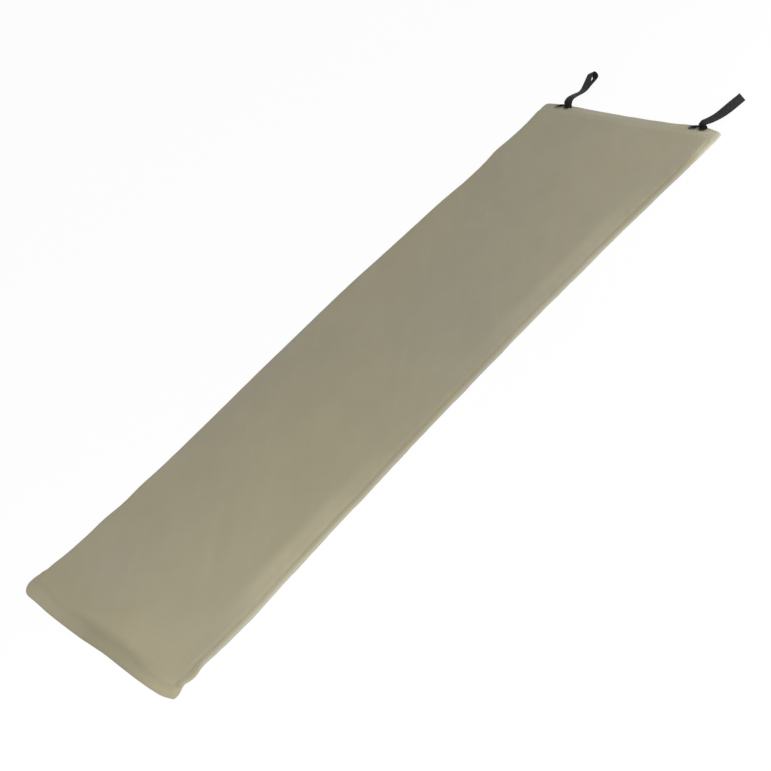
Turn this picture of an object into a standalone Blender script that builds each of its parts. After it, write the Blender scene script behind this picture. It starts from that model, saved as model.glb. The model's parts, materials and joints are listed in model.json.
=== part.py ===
"""Sleeping mat: a foam pad sealed between two coated sheets, with webbing loops at one end.

The mat lies flat. The origin is in the middle of its underside, +Y runs along it to the end
with the loops, and +Z is up. The two sheets are bonded together in a hem all round the foam.
Each corner of the loop end has two eyelets in the hem. A webbing strap goes down through one
eyelet, under the hem and up through the other, and its free part is a loop that folds about
the eyelets.
"""
import math

import bmesh
import bpy
import numpy as np
from mathutils import Vector

# Mat, in metres
MAT_WIDTH = 0.550
MAT_LENGTH = 1.830
PAD_HEIGHT = 0.013
SHEET_THICKNESS = 0.0005
SEAT_GAP = 0.0003
GROUND_CLEARANCE = 0.0005

# Hem round the pad, and the pad's rounding beside it
SIDE_HEM = 0.008
SEAM_DEPTH = 0.004
HEM_CORNER_RADIUS = 0.018
PAD_CORNER_RADIUS = 0.024
TOP_SHOULDER = 0.012
UNDER_SHOULDER = 0.008

# Eyelets, each a flanged barrel from above and a washer that the barrel is rolled over below
EYELET_BORE = 0.011
EYELET_WALL = 0.0006
EYELET_RIM = 0.021
EYELET_RISE = 0.0016
WASHER_THICKNESS = 0.0006
CURL_WIDTH = 0.0013
CURL_HEIGHT = 0.0008
EYELET_BRIDGE = 0.009
EYELET_EDGE_MARGIN = 0.0015
EYELET_SEAM_MARGIN = 0.0055
EYELET_CORNER_MARGIN = 0.005

# Webbing strap
WEBBING_WIDTH = 0.020
WEBBING_THICKNESS = 0.0014
GATHERED_THICKNESS = 0.0024
GATHER_CLEARANCE = 0.0025
RUN_WIDTH = 0.012
FOLD_RADIUS = 0.0004
STUB_RISE = 0.0018

# Free loop of the strap
LOOP_REACH = 0.136
NECK_RADIUS = 0.005
NECK_CLEARANCE = 0.001
FLARE_LENGTH = 0.016
SEWN_LENGTH = 0.040
OPENING_RUN = 0.035
LOOP_GAP = 0.0076
LOOP_NOSE = 0.012
BASE_HALF_WIDTH = 0.0012

# Route of each free loop from its hinge, as it lies: along the mat and to the side, as shares of
# the loop's reach, and down, as a share of the drop from the hinge to the ground
RIGHT_ROUTE = ((0.0, 0.0, 0.0), (0.07, 0.004, 0.0), (0.25, 0.062, 0.35), (0.46, 0.113, 0.75),
               (0.71, 0.146, 1.0), (1.0, 0.161, 1.0))
LEFT_ROUTE = ((0.0, 0.0, 0.0), (0.07, 0.0, 0.0), (0.235, 0.011, 0.35), (0.395, 0.033, 0.75),
              (0.555, 0.007, 1.0), (0.76, -0.062, 1.0), (1.0, -0.120, 1.0))

# Smoothness of the faceted shapes
CORNER_STEPS = 6
SHOULDER_STEPS = 6
ROUND_STEPS = 32
DOME_STEPS = 6
FOLD_STEPS = 4
LOOP_STEPS = 30
BASE_STEPS = 4
NOSE_STEPS = 8
SHARP_ANGLE = math.radians(35.0)

SHEET_COLOUR = (0.335, 0.305, 0.225, 1.0)
UNDERSIDE_COLOUR = (0.300, 0.280, 0.215, 1.0)
FOAM_COLOUR = (0.560, 0.540, 0.470, 1.0)
EYELET_COLOUR = (0.030, 0.029, 0.027, 1.0)
WEBBING_COLOUR = (0.018, 0.018, 0.020, 1.0)

# Levels worked out from the sizes above, measured square to the hem from its middle plane
HEM_HALF = SHEET_THICKNESS + SEAT_GAP / 2
RIM_SEAT = HEM_HALF + SEAT_GAP
RIM_TOP = RIM_SEAT + EYELET_RISE
CURL_TOP = RIM_SEAT + WASHER_THICKNESS + SEAT_GAP
CURL_BOTTOM = CURL_TOP + CURL_HEIGHT
RUN_OVER = RIM_TOP + SEAT_GAP
RUN_UNDER = CURL_BOTTOM + SEAT_GAP
STUB_TOP = RUN_OVER + WEBBING_THICKNESS + STUB_RISE
HINGE_LEVEL = STUB_TOP + SEAT_GAP + NECK_RADIUS

# Places of the eyelets in the end hem, which is just wide enough for them
EYELET_SPACING = EYELET_RIM + EYELET_BRIDGE
EYELET_END_INSET = EYELET_EDGE_MARGIN + EYELET_RIM / 2
END_HEM = EYELET_EDGE_MARGIN + EYELET_RIM + EYELET_SEAM_MARGIN
PAIR_SIDE_INSET = SIDE_HEM + PAD_CORNER_RADIUS + EYELET_CORNER_MARGIN + (EYELET_RIM + EYELET_SPACING) / 2
SEAM_HEIGHT = PAD_HEIGHT - SEAM_DEPTH


def hem_droop():
    """Slope of the end hem, which sinks from the seam until the strap under it nears the ground."""
    angle = 0.0
    for _ in range(20):
        under = (RUN_UNDER + WEBBING_THICKNESS) * math.cos(angle) + RUN_WIDTH / 2 * math.sin(angle)
        angle = math.atan((SEAM_HEIGHT - GROUND_CLEARANCE - under) / (END_HEM - EYELET_END_INSET))
    return angle


END_HEM_DROOP = hem_droop()
PAIR_HEIGHT = SEAM_HEIGHT - (END_HEM - EYELET_END_INSET) * math.tan(END_HEM_DROOP)
HEM_TOE = SEAM_HEIGHT - END_HEM * math.tan(END_HEM_DROOP)

# Across the pair of eyelets: the gathered strap bears on the sides of the bores that face each other
BORE_RADIUS = EYELET_BORE / 2
GATHERED_WIDTH = EYELET_BORE - GATHER_CLEARANCE
LEG_INNER = EYELET_SPACING / 2 - math.sqrt((BORE_RADIUS - SEAT_GAP) ** 2 - (GATHERED_WIDTH / 2) ** 2)
LEG_OUTER = LEG_INNER + GATHERED_THICKNESS
PLY_OUTER = LEG_INNER - SEAT_GAP
PLY_INNER = PLY_OUTER - WEBBING_THICKNESS
STRAP_CENTRE = (PLY_INNER + LEG_OUTER) / 2


def clear_scene():
    for item in list(bpy.data.objects):
        bpy.data.objects.remove(item, do_unlink=True)


def make_material(name, colour, roughness, metallic=0.0):
    material = bpy.data.materials.new(name)
    material.use_nodes = True
    shader = material.node_tree.nodes["Principled BSDF"]
    shader.inputs["Base Color"].default_value = colour
    shader.inputs["Roughness"].default_value = roughness
    shader.inputs["Metallic"].default_value = metallic
    material.diffuse_color = colour
    return material


def add_object(name, mesh, material=None, parent=None, location=(0.0, 0.0, 0.0)):
    item = bpy.data.objects.new(name, mesh)
    bpy.context.scene.collection.objects.link(item)
    item.parent = parent
    item.location = location
    if material is not None:
        mesh.materials.append(material)
    return item


def finish_mesh(name, shape):
    """Turn a bmesh into a mesh with its faces pointing out and its round faces smooth."""
    bmesh.ops.recalc_face_normals(shape, faces=shape.faces)
    mesh = bpy.data.meshes.new(name)
    shape.to_mesh(mesh)
    shape.free()
    mesh.shade_smooth()
    mesh.set_sharp_from_angle(angle=SHARP_ANGLE)
    return mesh


def smooth_step(value):
    """Ease from 0 to 1."""
    value = min(max(value, 0.0), 1.0)
    return value * value * (3.0 - 2.0 * value)


def rounded_ring(side_inset, end_inset, radius, height):
    """Points of a rectangle with round corners, inset from the mat's outline, at one height."""
    half_x = MAT_WIDTH / 2 - side_inset
    half_y = MAT_LENGTH / 2 - end_inset
    points = []
    for quarter in range(4):
        sign_x = (1, -1, -1, 1)[quarter]
        sign_y = (1, 1, -1, -1)[quarter]
        for step in range(CORNER_STEPS + 1):
            angle = math.radians(90.0) * (quarter + step / CORNER_STEPS)
            points.append(Vector((sign_x * (half_x - radius) + radius * math.cos(angle),
                                  sign_y * (half_y - radius) + radius * math.sin(angle), height)))
    return points


def loft(name, rings):
    """Bridge the rings in order and close the first and the last with a flat face."""
    shape = bmesh.new()
    loops = []
    for ring in rings:
        corners = [shape.verts.new(point) for point in ring]
        loops.append([shape.edges.new((corners[i - 1], corners[i])) for i in range(len(corners))])
    for lower, upper in zip(loops, loops[1:]):
        bmesh.ops.bridge_loops(shape, edges=lower + upper)
    for ends in (loops[0], loops[-1]):
        bmesh.ops.contextual_create(shape, geom=ends)
    return finish_mesh(name, shape)


def shoulder(run, rise, level, depth, angle):
    """Ring on the elliptical shoulder of the pad, depth inside its outer surface.

    The ellipse runs in from the hem by run and climbs by rise from level; a negative rise goes down.
    """
    inward = run - (run - depth) * math.cos(angle)
    climb = (abs(rise) - depth) * math.sin(angle) * (1.0 if rise > 0 else -1.0)
    radius = max(PAD_CORNER_RADIUS - inward, SEAT_GAP)
    return rounded_ring(SIDE_HEM + inward, END_HEM + inward, radius, level + climb)


def hem_ring(height):
    """Ring at the outer edge of the hem."""
    return rounded_ring(0.0, 0.0, HEM_CORNER_RADIUS, height)


def make_sheet(name, run, rise, side):
    """Coated sheet over (side 1) or under (side -1) the pad, with its part of the hem."""
    level = SEAM_HEIGHT + side * SEAT_GAP / 2
    toe = HEM_TOE + side * SEAT_GAP / 2
    first = math.asin(SHEET_THICKNESS / rise)
    outer_angles = [first + (math.pi / 2 - first) * i / SHOULDER_STEPS for i in range(SHOULDER_STEPS + 1)]
    inner_angles = [math.pi / 2 * i / SHOULDER_STEPS for i in range(SHOULDER_STEPS + 1)]
    rings = [shoulder(run, side * rise, level, SHEET_THICKNESS, a) for a in reversed(inner_angles)]
    rings.append(hem_ring(toe))
    rings.append(hem_ring(toe + side * SHEET_THICKNESS))
    rings.extend(shoulder(run, side * rise, level, 0.0, a) for a in outer_angles)
    return loft(name, rings)


def make_foam(name, top_rise, under_rise):
    """Foam slab that fills the room between the two sheets."""
    depth = SHEET_THICKNESS + SEAT_GAP
    angles = [math.pi / 2 * i / SHOULDER_STEPS for i in range(SHOULDER_STEPS + 1)]
    under_level = SEAM_HEIGHT - SEAT_GAP / 2
    top_level = SEAM_HEIGHT + SEAT_GAP / 2
    rings = [shoulder(UNDER_SHOULDER, -under_rise, under_level, depth, a) for a in reversed(angles)]
    rings.extend(shoulder(TOP_SHOULDER, top_rise, top_level, depth, a) for a in angles)
    return loft(name, rings)


def turned_profile(name, points):
    """Closed profile in the XZ plane, ready for a Screw modifier."""
    shape = bmesh.new()
    corners = [shape.verts.new((radius, 0.0, height)) for radius, height in points]
    for i in range(len(corners)):
        shape.edges.new((corners[i], corners[(i + 1) % len(corners)]))
    mesh = bpy.data.meshes.new(name)
    shape.to_mesh(mesh)
    shape.free()
    return mesh


def turn(item):
    """Revolve the object's profile about its own Z axis."""
    screw = item.modifiers.new("revolve", "SCREW")
    screw.axis = "Z"
    screw.steps = ROUND_STEPS
    screw.render_steps = ROUND_STEPS
    screw.use_merge_vertices = True
    screw.merge_threshold = 0.00001
    screw.use_smooth_shade = True


def barrel_profile():
    """Domed rim over the hem, a straight barrel, and the rolled lip under the washer."""
    barrel = BORE_RADIUS + EYELET_WALL
    rim = EYELET_RIM / 2
    middle = (BORE_RADIUS + rim) / 2
    half_span = (rim - BORE_RADIUS) / 2
    lip = barrel + CURL_WIDTH
    roll = CURL_HEIGHT / 2
    angles = [math.pi * i / DOME_STEPS for i in range(DOME_STEPS + 1)]
    dome = [(middle - half_span * math.cos(a), RIM_SEAT + EYELET_RISE * math.sin(a)) for a in angles]
    turns = [math.pi / 2 - math.pi * i / DOME_STEPS for i in range(DOME_STEPS + 1)]
    curl = [(lip - roll + roll * math.cos(a), -CURL_TOP - roll + roll * math.sin(a)) for a in turns]
    outside = [(barrel, RIM_SEAT), (barrel, -CURL_TOP)]
    bore = [(BORE_RADIUS, -CURL_BOTTOM), (BORE_RADIUS, RIM_SEAT)]
    return dome[1:] + outside + curl + bore


def washer_profile():
    """Flat ring under the hem with a rounded outer edge."""
    hole = BORE_RADIUS + EYELET_WALL + SEAT_GAP
    rim = EYELET_RIM / 2
    roll = WASHER_THICKNESS / 2
    turns = [math.pi / 2 - math.pi * i / DOME_STEPS for i in range(DOME_STEPS + 1)]
    edge = [(rim - roll + roll * math.cos(a), -RIM_SEAT - roll + roll * math.sin(a)) for a in turns]
    return edge + [(hole, -RIM_SEAT - WASHER_THICKNESS), (hole, -RIM_SEAT)]


def fold_stations(centre, first, second, inner, start, end):
    """Stations of a quarter turn of the strap about centre, from the first direction to the second.

    inner is the radius of the strap's inner face, and start and end are its outer face's radii
    in the two directions.
    """
    stations = []
    for step in range(FOLD_STEPS + 1):
        angle = math.pi / 2 * step / FOLD_STEPS
        one = Vector(first) * math.cos(angle)
        two = Vector(second) * math.sin(angle)
        stations.append((Vector(centre) + (one + two) * inner, Vector(centre) + one * start + two * end,
                         GATHERED_WIDTH / 2))
    return stations


def anchor_stations():
    """Stations of the strap round the hem, from the top of its stub back to the top of its stub.

    Each has a point on the face towards the hem, one on the other face, and the strap's half
    width. The plane is across the pair of eyelets (first number) and square to the hem (second).
    """
    bend = LEG_INNER - FOLD_RADIUS
    low = -RUN_UNDER + FOLD_RADIUS
    high = RUN_OVER - FOLD_RADIUS
    leg = FOLD_RADIUS + GATHERED_THICKNESS
    run = FOLD_RADIUS + WEBBING_THICKNESS
    stub_fold = (PLY_INNER - FOLD_RADIUS, RUN_OVER + run)
    stations = [(Vector((LEG_INNER, STUB_TOP)), Vector((LEG_OUTER, STUB_TOP)), NECK_RADIUS),
                (Vector((LEG_INNER, RUN_OVER)), Vector((LEG_OUTER, RUN_OVER)), GATHERED_WIDTH / 2)]
    stations += fold_stations((bend, low), (1, 0), (0, -1), FOLD_RADIUS, leg, run)
    stations.append((Vector((0.0, -RUN_UNDER)), Vector((0.0, -RUN_UNDER - WEBBING_THICKNESS)), RUN_WIDTH / 2))
    stations += fold_stations((-bend, low), (0, -1), (-1, 0), FOLD_RADIUS, run, leg)
    stations += fold_stations((-bend, high), (-1, 0), (0, 1), FOLD_RADIUS, leg, run)
    stations.append((Vector((0.0, RUN_OVER)), Vector((0.0, RUN_OVER + WEBBING_THICKNESS)), RUN_WIDTH / 2))
    stations += fold_stations(stub_fold, (0, -1), (1, 0), run, FOLD_RADIUS, FOLD_RADIUS)
    stations.append((Vector((PLY_OUTER, STUB_TOP)), Vector((PLY_INNER, STUB_TOP)), NECK_RADIUS))
    return stations


def make_anchor(name):
    """Strap through the two eyelets: rectangular sections skinned in order, with flat ends."""
    shape = bmesh.new()
    sections = []
    for inner, outer, half in anchor_stations():
        corners = ((inner, -half), (inner, half), (outer, half), (outer, -half))
        sections.append([shape.verts.new((point.x, side, point.y)) for point, side in corners])
    for first, second in zip(sections, sections[1:]):
        for i in range(4):
            shape.faces.new((first[i - 1], first[i], second[i], second[i - 1]))
    shape.faces.new(sections[0])
    shape.faces.new(sections[-1])
    return finish_mesh(name, shape)


def smooth_route(route, drop):
    """Points of a smooth curve through the route, and the length of the curve up to each of them."""
    knots = np.array([(side * LOOP_REACH, along * LOOP_REACH, -drop * share) for along, side, share in route])
    ends = np.vstack([2 * knots[0] - knots[1], knots, 2 * knots[-1] - knots[-2]])
    pieces = []
    for before, start, end, after in zip(ends, ends[1:], ends[2:], ends[3:]):
        t = np.linspace(0.0, 1.0, 16, endpoint=False)[:, None]
        pieces.append(0.5 * (2 * start + (end - before) * t
                             + (2 * before - 5 * start + 4 * end - after) * t ** 2
                             + (3 * start - before - 3 * end + after) * t ** 3))
    fine = np.vstack(pieces + [knots[-1:]])
    lengths = np.concatenate([[0.0], np.cumsum(np.linalg.norm(np.diff(fine, axis=0), axis=1))])
    return fine, lengths


def loop_half_width(distance):
    """Half width of the loop: round about the hinge, then a neck, then full webbing width."""
    if distance < 0.0:
        reach = WEBBING_THICKNESS / 2 - distance
        return math.sqrt(max(NECK_RADIUS ** 2 - reach ** 2, BASE_HALF_WIDTH ** 2))
    flare = smooth_step((distance - NECK_RADIUS - NECK_CLEARANCE) / FLARE_LENGTH)
    return NECK_RADIUS + (WEBBING_WIDTH / 2 - NECK_RADIUS) * flare


def sewn_half_gap():
    """Half the distance between the middles of the two plies where they lie together."""
    return (WEBBING_THICKNESS + SEAT_GAP) / 2


def base_length():
    """Distance from the hinge back to the start of the fold at the loop's lower end."""
    reach = math.sqrt(NECK_RADIUS ** 2 - BASE_HALF_WIDTH ** 2)
    return reach - sewn_half_gap() - WEBBING_THICKNESS / 2


def loop_half_gap(distance):
    """Half the distance between the middles of the two plies."""
    opened = smooth_step((distance - SEWN_LENGTH) / OPENING_RUN)
    return sewn_half_gap() + (LOOP_GAP + WEBBING_THICKNESS - 2 * sewn_half_gap()) / 2 * opened


def loop_stations(length):
    """Distance along the loop, offset to the side and half width, once round the closed band."""
    straight = length - LOOP_NOSE
    start = -base_length()
    out = [start * math.cos(math.pi / 2 * i / BASE_STEPS) for i in range(BASE_STEPS)]
    out += [straight * i / LOOP_STEPS for i in range(LOOP_STEPS + 1)]
    stations = [(d, loop_half_gap(d), loop_half_width(d)) for d in out]
    for step in range(1, NOSE_STEPS):
        angle = math.pi * step / NOSE_STEPS
        stations.append((straight + LOOP_NOSE * math.sin(angle), loop_half_gap(straight) * math.cos(angle),
                         loop_half_width(straight)))
    stations += [(d, -loop_half_gap(d), loop_half_width(d)) for d in reversed(out)]
    for step in range(1, FOLD_STEPS):
        angle = math.pi * step / FOLD_STEPS
        distance = start - sewn_half_gap() * math.sin(angle)
        stations.append((distance, -sewn_half_gap() * math.cos(angle), loop_half_width(distance)))
    return stations


def make_loop(name, route, drop):
    """Closed band of webbing on its edge along the route, as a strip that gets its thickness later."""
    fine, lengths = smooth_route(route, drop)
    shape = bmesh.new()
    rungs = []
    for distance, offset, half in loop_stations(lengths[-1]):
        clamped = min(max(distance, 0.0), lengths[-1])
        place = np.array([np.interp(clamped, lengths, fine[:, k]) for k in range(3)])
        ahead = np.array([np.interp(clamped + NECK_RADIUS, lengths, fine[:, k]) for k in range(3)])
        behind = np.array([np.interp(clamped - NECK_RADIUS, lengths, fine[:, k]) for k in range(3)])
        tangent = Vector((ahead - behind)).normalized()
        across = tangent.cross(Vector((0.0, 0.0, 1.0))).normalized()
        upward = across.cross(tangent)
        middle = Vector(place) + tangent * (distance - clamped) + across * offset
        rungs.append([shape.verts.new(middle - upward * half), shape.verts.new(middle + upward * half)])
    for i in range(len(rungs)):
        before, after = rungs[i - 1], rungs[i]
        shape.faces.new((before[0], after[0], after[1], before[1]))
    return finish_mesh(name, shape)


def cut_eyelet_hole(sheets, frame, along):
    """Hole through both sheets for one eyelet's barrel."""
    shape = bmesh.new()
    radius = BORE_RADIUS + EYELET_WALL + SEAT_GAP
    bmesh.ops.create_cone(shape, cap_ends=True, segments=ROUND_STEPS, radius1=radius, radius2=radius,
                          depth=6 * HEM_HALF)
    cutter = add_object("eyelet_hole_cutter", finish_mesh("eyelet_hole_cutter", shape), None, frame,
                        (along, 0.0, 0.0))
    cutter.hide_render = True
    cutter.display_type = "WIRE"
    for sheet in sheets:
        boolean = sheet.modifiers.new("eyelet_hole", "BOOLEAN")
        boolean.operation = "DIFFERENCE"
        boolean.solver = "EXACT"
        boolean.object = cutter


def make_corner(side_name, side, route, sheets, materials):
    """Eyelets, strap and loop of one corner of the loop end; side is -1 on the left, 1 on the right."""
    frame = add_object("pair_frame_" + side_name, None)
    frame.location = (side * (MAT_WIDTH / 2 - PAIR_SIDE_INSET),
                      MAT_LENGTH / 2 - EYELET_END_INSET,
                      PAIR_HEIGHT)
    frame.rotation_euler = (-END_HEM_DROOP, 0.0, 0.0)
    for place, sign in (("outer", side), ("inner", -side)):
        along = sign * EYELET_SPACING / 2
        cut_eyelet_hole(sheets, frame, along)
        eyelet = "eyelet_" + side_name + "_" + place
        turn(add_object(eyelet, turned_profile(eyelet, barrel_profile()), materials["eyelet"], frame,
                        (along, 0.0, 0.0)))
        washer = "washer_" + side_name + "_" + place
        turn(add_object(washer, turned_profile(washer, washer_profile()), materials["washer"], frame,
                        (along, 0.0, 0.0)))
    anchor = "strap_anchor_" + side_name
    add_object(anchor, make_anchor(anchor), materials["webbing"], frame)

    hinge = Vector((frame.location.x + STRAP_CENTRE,
                    frame.location.y + HINGE_LEVEL * math.sin(END_HEM_DROOP),
                    frame.location.z + HINGE_LEVEL * math.cos(END_HEM_DROOP)))
    drop = hinge.z - WEBBING_WIDTH / 2 - GROUND_CLEARANCE
    loop = add_object("strap_loop_" + side_name, make_loop("strap_loop_" + side_name, route, drop),
                      materials["webbing"], None, hinge)
    solidify = loop.modifiers.new("ply_thickness", "SOLIDIFY")
    solidify.thickness = WEBBING_THICKNESS
    solidify.offset = 0.0
    solidify.use_even_offset = True


def build():
    clear_scene()
    materials = {
        "eyelet": make_material("blackened_metal", EYELET_COLOUR, 0.35, 0.9),
        "washer": make_material("blackened_washer", EYELET_COLOUR, 0.40, 0.9),
        "webbing": make_material("black_webbing", WEBBING_COLOUR, 0.85),
    }
    top_rise = PAD_HEIGHT - SEAM_HEIGHT - SEAT_GAP / 2
    under_rise = SEAM_HEIGHT - SEAT_GAP / 2
    top = add_object("top_sheet", make_sheet("top_sheet", TOP_SHOULDER, top_rise, 1),
                     make_material("coated_top_fabric", SHEET_COLOUR, 0.75))
    bottom = add_object("bottom_sheet", make_sheet("bottom_sheet", UNDER_SHOULDER, under_rise, -1),
                        make_material("coated_underside_fabric", UNDERSIDE_COLOUR, 0.80))
    add_object("foam_core", make_foam("foam_core", top_rise, under_rise),
               make_material("closed_cell_foam", FOAM_COLOUR, 0.90))
    make_corner("left", -1, LEFT_ROUTE, (top, bottom), materials)
    make_corner("right", 1, RIGHT_ROUTE, (top, bottom), materials)


build()
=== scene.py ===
"""Looks of a sleeping mat: a foam pad in a coated fabric cover, with webbing loops at one end.

The mat lies flat with its origin in the middle of its underside, +Y along it to the end with the
loops, and +Z up. Each piece is a surface worked out with numpy and dressed in a node material.
"""
import json
from math import atan, cos, pi, radians, sin, tan

import bmesh
import bpy
import numpy as np
from bpy.props import FloatProperty, FloatVectorProperty, PointerProperty
from bpy.types import Operator, Panel, PropertyGroup
from mathutils import Matrix, Vector


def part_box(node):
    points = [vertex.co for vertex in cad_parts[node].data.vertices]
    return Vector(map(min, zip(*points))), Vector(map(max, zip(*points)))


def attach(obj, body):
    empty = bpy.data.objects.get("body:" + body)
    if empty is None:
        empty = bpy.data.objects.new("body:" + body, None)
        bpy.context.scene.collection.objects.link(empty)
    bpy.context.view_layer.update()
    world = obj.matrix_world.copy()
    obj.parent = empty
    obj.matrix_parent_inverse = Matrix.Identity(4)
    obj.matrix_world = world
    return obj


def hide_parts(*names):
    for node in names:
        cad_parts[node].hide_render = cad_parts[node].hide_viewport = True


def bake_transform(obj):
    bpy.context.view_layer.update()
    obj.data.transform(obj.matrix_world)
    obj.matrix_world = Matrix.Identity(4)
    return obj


bl_info = {
    "name": "Sleeping Mat",
    "version": (1, 0, 0),
    "blender": (4, 5, 0),
    "location": "3D View > Sidebar > Sleeping Mat",
    "description": "Builds a foam sleeping mat with a bonded fabric cover, eyelets and webbing loops",
    "category": "Object",
}

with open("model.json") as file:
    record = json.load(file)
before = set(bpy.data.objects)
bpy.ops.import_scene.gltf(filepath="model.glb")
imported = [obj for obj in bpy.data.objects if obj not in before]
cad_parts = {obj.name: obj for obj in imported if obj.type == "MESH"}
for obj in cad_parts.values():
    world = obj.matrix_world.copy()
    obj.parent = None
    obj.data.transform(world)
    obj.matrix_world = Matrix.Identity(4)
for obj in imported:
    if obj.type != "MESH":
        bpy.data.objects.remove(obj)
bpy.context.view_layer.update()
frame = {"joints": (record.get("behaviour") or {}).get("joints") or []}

# Places that the frame gives, in metres
TOP_LOW, TOP_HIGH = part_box("top_sheet")
HALF_WIDTH, HALF_LENGTH, PAD_TOP = TOP_HIGH
HINGES = {joint["child"]: Vector(joint["pos_m"]) for joint in frame["joints"]}

# Fits between the pieces, the same as in the frame, and the slope of the hem
FABRIC = 0.0005
GAP = 0.0003
SEAM_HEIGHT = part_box("bottom_sheet")[1].z + GAP / 2
HEM_TOE = TOP_LOW.z - GAP / 2
FAR_HEM = HALF_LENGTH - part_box("foam_core")[1].y - FABRIC - GAP
DROOP = atan((SEAM_HEIGHT - HEM_TOE) / FAR_HEM)
HEM_COS, HEM_SIN = cos(DROOP), sin(DROOP)

# Eyelets: how far in their centres lie, their middle on the hem's middle plane, the place of each across
# the mat, and the radius of the fabric's hole
EYELET_INSET = 0.012
EYELET_Y = HALF_LENGTH - EYELET_INSET
EYELET_Z = SEAM_HEIGHT - (FAR_HEM - EYELET_INSET) * tan(DROOP)
EYELETS = {name: sum(corner.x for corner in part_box("eyelet_" + name)) / 2
           for name in ("left_outer", "left_inner", "right_outer", "right_inner")}
HOLE = 0.0064
# Distance from an eyelet's centre at which the fabric is gathered and rubbed
HALO = 0.0155


def stations(rows, per_unit=1000):
    """Places in mm and the value at each in mm or percent, as an array in metres and shares."""
    return np.array(list(rows.items())) / (1000, per_unit)


# How the mat lies, as read from the photograph: sideways shift of each long edge at stations along the
# mat, and lengthwise shift of each end at stations across it, which fades over its reach
LEFT_EDGE = stations({
    -915: -18, -893: -20.5, -870: -18, -858: -13.6, -849: -8.8, -832: -6.4, -795: -1.4, -740: 2.2, -685: 1.4,
    -630: 6.4, -575: 3.8, -520: 5.8, -410: 4, -300: 0.5, -190: -3.6, -80: -6, 60: -8.8, 140: -9.5, 250: -5.8,
    360: -3.2, 470: -0.6, 580: 7.2, 640: 5.8, 690: 0.8, 745: 5, 800: 6.2, 850: 2.6, 868: 1, 885: -0.8,
    900: -1.4, 915: -1})
RIGHT_EDGE = stations({
    -915: 4.4, -902.5: 3.8, -894: 0.6, -884: -3.6, -878: -4, -869: -0.2, -857: 2.2, -844: 0.8, -830: -2.2,
    -795: 0.2, -740: 1.9, -685: 3.4, -630: 0.9, -520: -3.5, -410: -6.2, -355: -6.6, -300: -8.7, -245: -10.6,
    -190: -10.7, -80: -12.3, 60: -11.9, 200: -12.5, 305: -9.6, 360: -8, 415: -8.6, 470: -6, 525: -4.8,
    580: -1.8, 635: -0.4, 745: 5.3, 800: 8.2, 855: 8, 890: 9.8, 915: 9})
NEAR_EDGE = stations({
    -275: 5, -245: 2.2, -210: 1, -165: -1.8, -105: -3.2, -30: -3, 55: -0.4, 100: -1.2, 170: -2, 215: -1,
    240: 0.8, 262: 5.5, 275: 9.5})
FAR_EDGE = stations({
    -275: -4, -258: -2.8, -245: -1.2, -185: 0, -150: -1, -120: -3, -60: -4.5, 20: -5.5, 90: -4.8, 150: -3.2,
    185: -0.8, 225: -1.7, 245: -5.3, 260: -9.2, 268: -12.2, 275: -16})
END_REACH = 0.12

# Width of the near hem at stations across the mat, wavy where the cover was bonded, and of the bonded
# strip along each long side: even on the left, wider towards the far right corner
NEAR_HEM = stations({
    -275: 34, -220: 33, -120: 26, -55: 31, -5: 24, 60: 26, 100: 28, 170: 21, 215: 20, 275: 19})
SIDE_STRIP = 0.0052
RIGHT_STRIP = stations({-915: 5.2, 600: 5.2, 740: 5.2, 800: 9, 860: 12.5, 915: 13})

# Painted light and shade, in percent lighter or darker than the fabric's mean: along the right side, where
# it stands in for the light on the pad's uneven edge, and across the two hems. The wall is how deep the
# painted shade is below the right shoulder of the pad, where the fabric is pulled down to the seam
RIGHT_SHADE = stations({
    -915: 0, -800: -2, -620: 15, -420: 14, -220: 2, 0: 3, 300: 15, 420: 18, 620: 5, 800: -6, 915: 0}, 100)
NEAR_SHADE = stations({-275: 4, -150: 2, -80: -5, 0: -17, 80: -17, 150: -12, 220: -3, 275: 0}, 100)
FAR_SHADE = stations({-275: 0, -150: 8, -80: 15, 0: 5, 80: -2, 150: 3, 220: 0, 275: 0}, 100)
RIGHT_WALL_SHADE = stations({
    -915: 100, -760: 95, -620: 95, -460: 115, -200: 90, 150: 80, 400: 95, 600: 135, 740: 100, 800: 50,
    915: 50}, 100)

# Radius of each corner of the cover and of the pad inside it, by its sides
CORNER_RADII = {(-1, -1): 0.026, (1, -1): 0.003, (-1, 1): 0.009, (1, 1): 0.007}
PAD_RADII = {(-1, -1): 0.030, (1, -1): 0.012, (-1, 1): 0.022, (1, 1): 0.026}

# Pitch of the fabric's threads, width of a column of the webbing and length of its stitches
FABRIC_THREAD = 0.0018
WEBBING_COLUMN = 0.00125
WEBBING_STITCH = 0.0019
BARE_STEEL = (0.21, 0.19, 0.155)

# Columns of the sheets' grid, in from a side and close together beside the seam
SEAM_COLUMNS = (0.0, 0.0013, 0.0026, 0.0038, 0.0048, SIDE_STRIP, 0.0055, 0.0062, 0.0071, 0.0083, 0.0098,
                0.0115, 0.0134, 0.0156, 0.0180)

# Cloth that relaxes the top fabric, and how many frames and levels of bond it has
CLOTH = {"quality": 4, "mass": 0.2, "tension_stiffness": 12.0, "compression_stiffness": 12.0,
         "shear_stiffness": 6.0, "bending_stiffness": 0.4, "air_damping": 2.0, "pin_stiffness": 0.6}
CLOTH_FRAMES = 18
BOND_LEVELS = 20

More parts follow.
